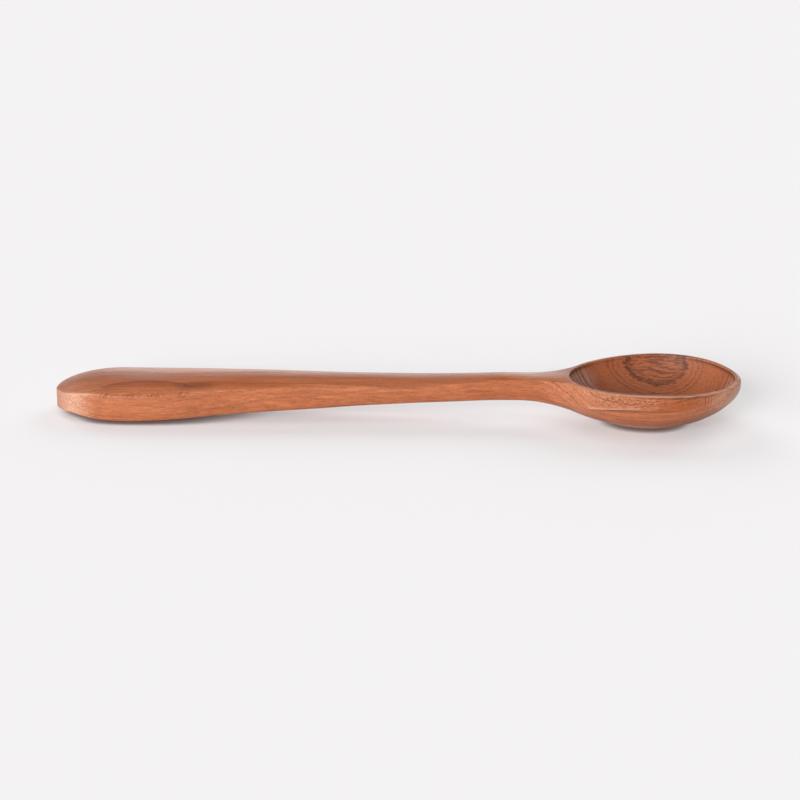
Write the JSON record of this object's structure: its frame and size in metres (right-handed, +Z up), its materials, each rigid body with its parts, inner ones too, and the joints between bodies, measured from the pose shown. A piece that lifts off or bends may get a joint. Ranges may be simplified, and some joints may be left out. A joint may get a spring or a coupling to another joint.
{
  "type": "wooden spoon",
  "caption": "Carved hardwood table spoon: oval bowl with a plain rim, slim neck, and a flat-sided handle that swells to a rounded butt; for eating, serving and stirring.",
  "frame": {"origin": "on the table under the middle of the spoon's length and width", "axes": "+X along the spoon from the butt of the handle to the tip of the bowl, +Z up out of the open bowl, +Y to the left when looking along +X"},
  "size_m": [0.2, 0.0358, 0.0147],
  "materials": {
    "oiled_hardwood": "reddish-brown hardwood, sanded and oiled, with a low satin sheen"
  },
  "bodies": {
    "root": {"spoon": "oiled_hardwood"}
  },
  "joints": []
}
